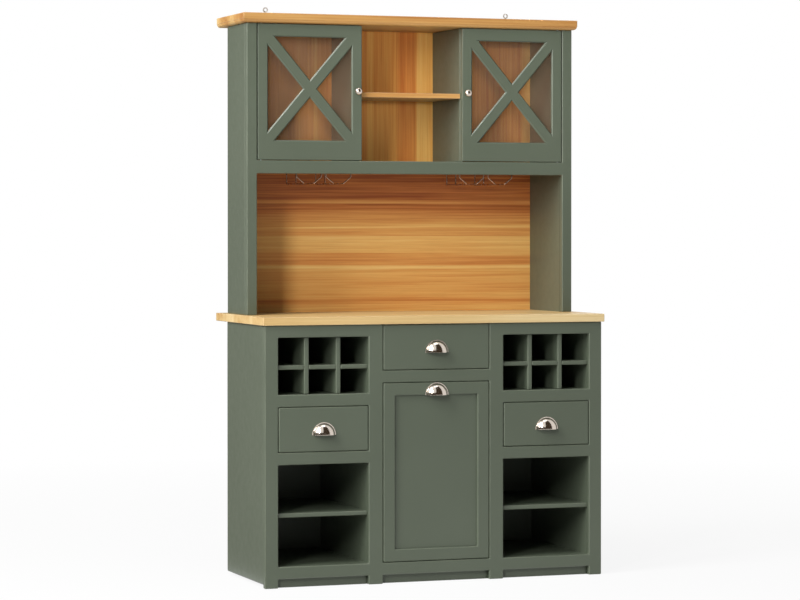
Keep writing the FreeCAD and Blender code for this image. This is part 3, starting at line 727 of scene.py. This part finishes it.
def seen_directly(tree):
    """1 for rays that show the background: from the camera, or by way of gloss or glass."""
    path = tree.nodes.new("ShaderNodeLightPath")
    total = path.outputs["Is Camera Ray"]
    for name in ("Is Glossy Ray", "Is Transmission Ray"):
        step = tree.nodes.new("ShaderNodeMath")
        step.operation = "MAXIMUM"
        tree.links.new(total, step.inputs[0])
        tree.links.new(path.outputs[name], step.inputs[1])
        total = step.outputs[0]
    return total


def bare_material(name):
    """A material with only an output, as (the material, its tree, the socket to feed)."""
    material = bpy.data.materials.new(name)
    material.use_nodes = True
    tree = material.node_tree
    tree.nodes.clear()
    out = tree.nodes.new("ShaderNodeOutputMaterial")
    return material, tree, out.inputs["Surface"]


def glow_of(tree, colour):
    glow = tree.nodes.new("ShaderNodeEmission")
    glow.inputs["Color"].default_value = colour
    return glow.outputs[0]


def floor_material():
    """White with a faint shadow round the object, and with none where it meets the world."""
    material, tree, surface = bare_material("pale_floor")
    matt = tree.nodes.new("ShaderNodeBsdfDiffuse")
    matt.inputs["Color"].default_value = FLOOR_GREY
    place = tree.nodes.new("ShaderNodeTexCoord")
    away = tree.nodes.new("ShaderNodeVectorMath")
    away.operation = "LENGTH"
    tree.links.new(place.outputs["Object"], away.inputs[0])
    keep = tree.nodes.new("ShaderNodeMapRange")
    keep.inputs["From Min"].default_value = NEAR
    keep.inputs["From Max"].default_value = FAR
    keep.inputs["To Min"].default_value = GLOW_NEAR
    keep.inputs["To Max"].default_value = GLOW_FAR
    tree.links.new(away.outputs["Value"], keep.inputs["Value"])
    share = tree.nodes.new("ShaderNodeMath")
    share.operation = "MULTIPLY"
    tree.links.new(seen_directly(tree), share.inputs[0])
    tree.links.new(keep.outputs[0], share.inputs[1])
    mix = tree.nodes.new("ShaderNodeMixShader")
    tree.links.new(share.outputs[0], mix.inputs[0])
    tree.links.new(matt.outputs[0], mix.inputs[1])
    tree.links.new(glow_of(tree, WHITE), mix.inputs[2])
    tree.links.new(mix.outputs[0], surface)
    return material


def level_sheet(name, low, high, height=0.0):
    """The mesh of a level rectangle."""
    mesh = bpy.data.meshes.new(name)
    mesh.from_pydata([(x, y, height) for x, y in rectangle(low, high)], [], [(0, 1, 2, 3)])
    return mesh


def pale_floor():
    sheet = level_sheet("floor", (-FLOOR_HALF, -FLOOR_HALF), (FLOOR_HALF, FLOOR_HALF))
    floor = add_object("floor", sheet)
    floor.data.materials.append(floor_material())


def white_world(ambient):
    """A white background, of which only a share, ambient, lights the object."""
    world = bpy.data.worlds.new("studio")
    scene.world = world
    world.use_nodes = True
    tree = world.node_tree
    background = tree.nodes["Background"]
    background.inputs["Color"].default_value = WHITE
    level = tree.nodes.new("ShaderNodeMapRange")
    level.inputs["To Min"].default_value = ambient
    level.inputs["To Max"].default_value = 1.0
    tree.links.new(seen_directly(tree), level.inputs["Value"])
    tree.links.new(level.outputs[0], background.inputs["Strength"])


pale_floor()
white_world(ambient=0.13)


# Light

def direction(azimuth, elevation):
    """A unit vector from angles in degrees: azimuth 0 is in front, positive to the left."""
    around = math.radians(azimuth)
    up = math.radians(elevation)
    level = math.cos(up)
    return Vector((-math.sin(around) * level, -math.cos(around) * level, math.sin(up)))


def softbox(name, azimuth, elevation, distance, size, power, target=(0, 0, 1.0), spread=180):
    """A rectangular lamp that faces the target, with its angles in degrees."""
    data = bpy.data.lights.new(name, "AREA")
    data.shape = "RECTANGLE"
    data.size = size[0]
    data.size_y = size[1]
    data.energy = power
    data.spread = math.radians(spread)
    lamp = add_object(name, data)
    way = direction(azimuth, elevation)
    lamp.location = Vector(target) + way * distance
    lamp.rotation_euler = way.to_track_quat("Z", "Y").to_euler()


softbox("key", azimuth=39, elevation=21, distance=8.0, size=(1.1, 2.7), power=272)
softbox("tall_left", azimuth=66, elevation=36, distance=7.0, size=(2.4, 5.4), power=578)
softbox("overhead", azimuth=0, elevation=75, distance=6.0, size=(3.0, 3.0), power=45)
softbox(
    "hutch_fill",
    azimuth=18,
    elevation=2,
    distance=5.0,
    size=(1.4, 0.3),
    power=0.8,
    target=(0.4, 0, 1.66),
    spread=14,
)


# Parts of the studio that only gloss shows: they give metal its contrast and light nothing

ROOM_MIDDLE = Vector((0, 0, 0.6))
MAT_HEIGHT = 1 * MM


def wall_tone(name, colour):
    """A plain colour that no light changes."""
    material, tree, surface = bare_material(name)
    tree.links.new(glow_of(tree, colour), surface)
    return material


def only_in_gloss(name, mesh, material):
    screen = add_object(name, mesh)
    screen.data.materials.append(material)
    screen.visible_camera = False
    screen.visible_diffuse = False
    screen.visible_transmission = False
    screen.visible_volume_scatter = False
    screen.visible_shadow = False


def between(ends, share):
    return ends[0] + (ends[1] - ends[0]) * share


def studio_wall(name, azimuths, elevations, material, distance=14.0, steps=12):
    """A piece of a round wall between two azimuths and two elevations."""
    work = bmesh.new()
    rows = []
    for row in range(steps + 1):
        elevation = between(elevations, row / steps)
        line = []
        for column in range(steps + 1):
            way = direction(between(azimuths, column / steps), elevation)
            line.append(work.verts.new(way * distance + ROOM_MIDDLE))
        rows.append(line)
    for low, high in zip(rows, rows[1:]):
        for column in range(steps):
            work.faces.new([low[column], low[column + 1], high[column + 1], high[column]])
    mesh = bpy.data.meshes.new(name)
    work.to_mesh(mesh)
    work.free()
    only_in_gloss(name, mesh, material)


def studio_mat(name, low, high, material):
    """A mat on the floor."""
    only_in_gloss(name, level_sheet(name, low, high, MAT_HEIGHT), material)


DARK_WALL = wall_tone("dark_wall", srgb(70, 60, 50))
GREY_WALL = wall_tone("grey_wall", srgb(140, 138, 132))
studio_wall("front_low", azimuths=(-45, 98), elevations=(-2, 14), material=DARK_WALL)
studio_wall("front_right", azimuths=(-45, 4), elevations=(14, 62), material=DARK_WALL)
studio_wall("back_left", azimuths=(108, 200), elevations=(-11, 45), material=GREY_WALL, distance=3.0)
studio_mat("back_left_mat", low=(-3.0, -0.6), high=(-0.66, 3.0), material=GREY_WALL)


# Camera, solved from the photo's straight edges

CAMERA_PLACE = Vector((-3.40254, -9.28265, 1.19263))
CAMERA_YAW = math.radians(19.9272)
CAMERA_PITCH = math.radians(0.7029)
IMAGE_WIDTH = 800
FOCAL_PIXELS = 2891.24
HORIZON_SHIFT_PIXELS = -40
SENSOR_WIDTH_MM = 36.0
FURTHEST_SEEN = 200.0


def photo_camera():
    data = bpy.data.cameras.new("photo_camera")
    data.sensor_width = SENSOR_WIDTH_MM
    data.lens = FOCAL_PIXELS * SENSOR_WIDTH_MM / IMAGE_WIDTH
    data.shift_y = HORIZON_SHIFT_PIXELS / IMAGE_WIDTH
    data.clip_end = FURTHEST_SEEN
    camera = add_object("photo_camera", data)
    camera.location = CAMERA_PLACE
    camera.rotation_euler = (math.radians(90) - CAMERA_PITCH, 0, -CAMERA_YAW)
    scene.camera = camera


photo_camera()
scene.view_settings.view_transform = "Standard"
